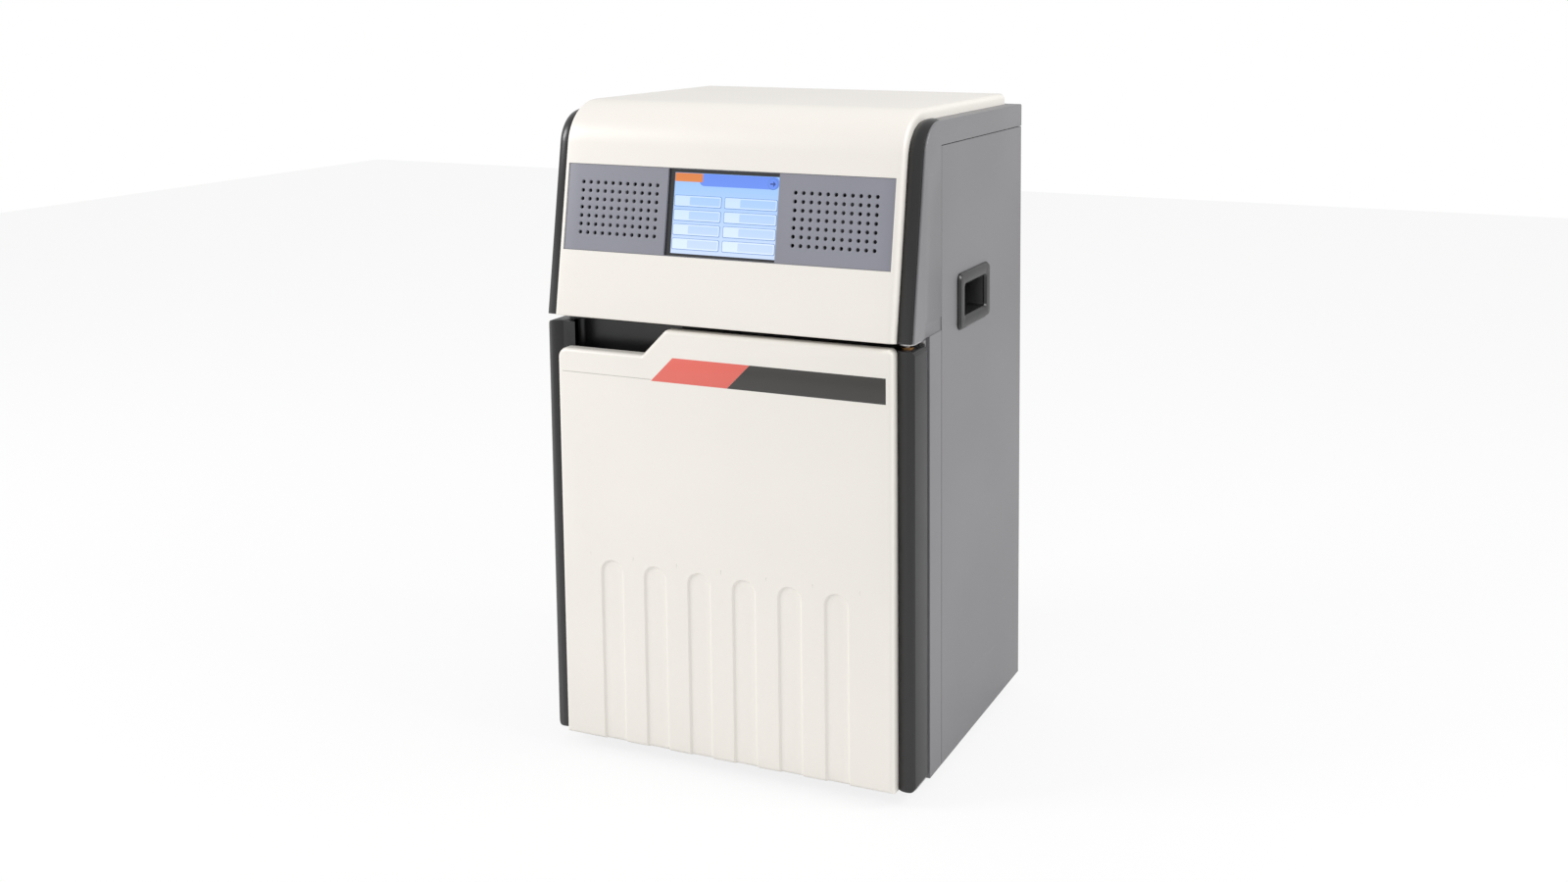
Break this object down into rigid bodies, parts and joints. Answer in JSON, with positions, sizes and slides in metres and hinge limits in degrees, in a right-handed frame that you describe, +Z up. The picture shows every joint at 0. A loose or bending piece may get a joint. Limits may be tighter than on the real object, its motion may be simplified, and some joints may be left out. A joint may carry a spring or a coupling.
{
  "type": "blood culture system",
  "caption": "Floor-standing automated blood culture cabinet with a fluted hinged door, a leaning hood with screen and perforated grilles, and a warm rocking rack of bottle cells.",
  "frame": {"origin": "centre of the bounding box's base, on the floor under the feet", "axes": "+X to the right seen from the front, +Y to the back so that the door faces -Y, +Z up"},
  "size_m": [0.57, 0.4406, 0.928],
  "materials": {
    "zinc_steel": "zinc plated folded sheet",
    "rubber_black": "soft black rubber",
    "bright_steel": "machined bright steel",
    "grey_satin": "grey satin paint",
    "black_moulding": "black satin moulding",
    "white_moulding": "warm white satin moulding",
    "band_grey": "grey fine satin",
    "screen_glass": "lit display behind a smooth front",
    "black_plastic": "plain black plastic",
    "board_green": "circuit board",
    "liner_white": "plain white sheet plastic",
    "foam": "closed cell foam",
    "heater_orange": "silicone heater mat",
    "magnet": "ferrite",
    "red_label": "smooth red label",
    "black_label": "smooth black label",
    "gasket_grey": "soft grey seal",
    "bronze": "oil filled bronze",
    "rack_grey": "grey sheet plastic",
    "gear_plastic": "natural gear plastic"
  },
  "bodies": {
    "cabinet": {"base_tray": "zinc_steel", "feet": "rubber_black", "foot_studs": "bright_steel", "front_frame": "grey_satin", "side_panel_right": "grey_satin", "side_panel_left": "grey_satin", "upper_housing": "grey_satin", "hood_fascia": "black_moulding", "hood_skin": "white_moulding", "display_band": "band_grey", "touch_screen": "screen_glass", "lcd_module": "black_plastic", "speakers": "black_plastic", "divider_shelf": "zinc_steel", "control_board": "board_green", "power_supply": "zinc_steel", "chamber_liner": "liner_white", "chamber_insulation": "foam", "heater_mat": "heater_orange", "air_duct_panel": "liner_white", "chamber_fan_frame": "black_plastic", "rack_support_right": "zinc_steel", "rack_support_left": "zinc_steel", "shaft_bearings": "bright_steel", "drive_motor": "black_plastic", "rear_panel": "grey_satin", "exhaust_fan_frame": "black_plastic", "fan_guard": "bright_steel", "power_inlet": "black_plastic", "switch_bezel": "black_plastic", "data_ports": "black_plastic", "handle_bezel_right": "black_moulding", "handle_bezel_left": "black_moulding", "handle_pocket_right": "black_moulding", "handle_pocket_left": "black_moulding", "hinge_plates": "bright_steel", "hinge_pins": "bright_steel", "catch_magnet": "magnet"},
    "door": {"door_pan": "black_moulding", "door_skin": "white_moulding", "label_red": "red_label", "label_black": "black_label", "door_liner": "liner_white", "door_gasket": "gasket_grey", "door_insulation": "foam", "hinge_bushes": "bronze", "strike_plate": "bright_steel"},
    "rack": {"rack_side_plates": "rack_grey", "rack_trunnions": "bright_steel", "rack_shelves": "rack_grey", "rack_dividers": "rack_grey", "sensor_board": "board_green", "cell_sensors": "black_plastic", "rack_back_cover": "rack_grey", "sector_gear": "gear_plastic"},
    "pinion": {"drive_pinion": "bright_steel"},
    "chamber_fan": {"chamber_fan_rotor": "black_plastic"},
    "exhaust_fan": {"exhaust_fan_rotor": "black_plastic"},
    "rocker": {"power_rocker": "black_plastic"}
  },
  "joints": [
    {"name": "door_swing", "type": "hinge", "parent": "cabinet", "child": "door", "pos_m": [0.262, -0.182, 0.32], "axis": [0, 0, 1], "range_deg": [0, 110]},
    {"name": "rack_rock", "type": "hinge", "parent": "cabinet", "child": "rack", "pos_m": [0, -0.035, 0.343], "axis": [1, 0, 0], "range_deg": [-10, 10]},
    {"name": "pinion_spin", "type": "hinge", "parent": "cabinet", "child": "pinion", "pos_m": [0.24, -0.035, 0.067], "axis": [1, 0, 0], "range_deg": [-195, 195]},
    {"name": "chamber_fan_spin", "type": "hinge", "parent": "cabinet", "child": "chamber_fan", "pos_m": [0, 0.076, 0.343], "axis": [0, 1, 0], "continuous": true},
    {"name": "exhaust_fan_spin", "type": "hinge", "parent": "cabinet", "child": "exhaust_fan", "pos_m": [0, 0.203, 0.778], "axis": [0, 1, 0], "continuous": true},
    {"name": "power_switch", "type": "hinge", "parent": "cabinet", "child": "rocker", "pos_m": [-0.14, 0.2095, 0.108], "axis": [1, 0, 0], "range_deg": [0, 20]}
  ],
  "couplings": [
    {"joint": "pinion_spin", "follows": "rack_rock", "ratio": -19.444}
  ]
}
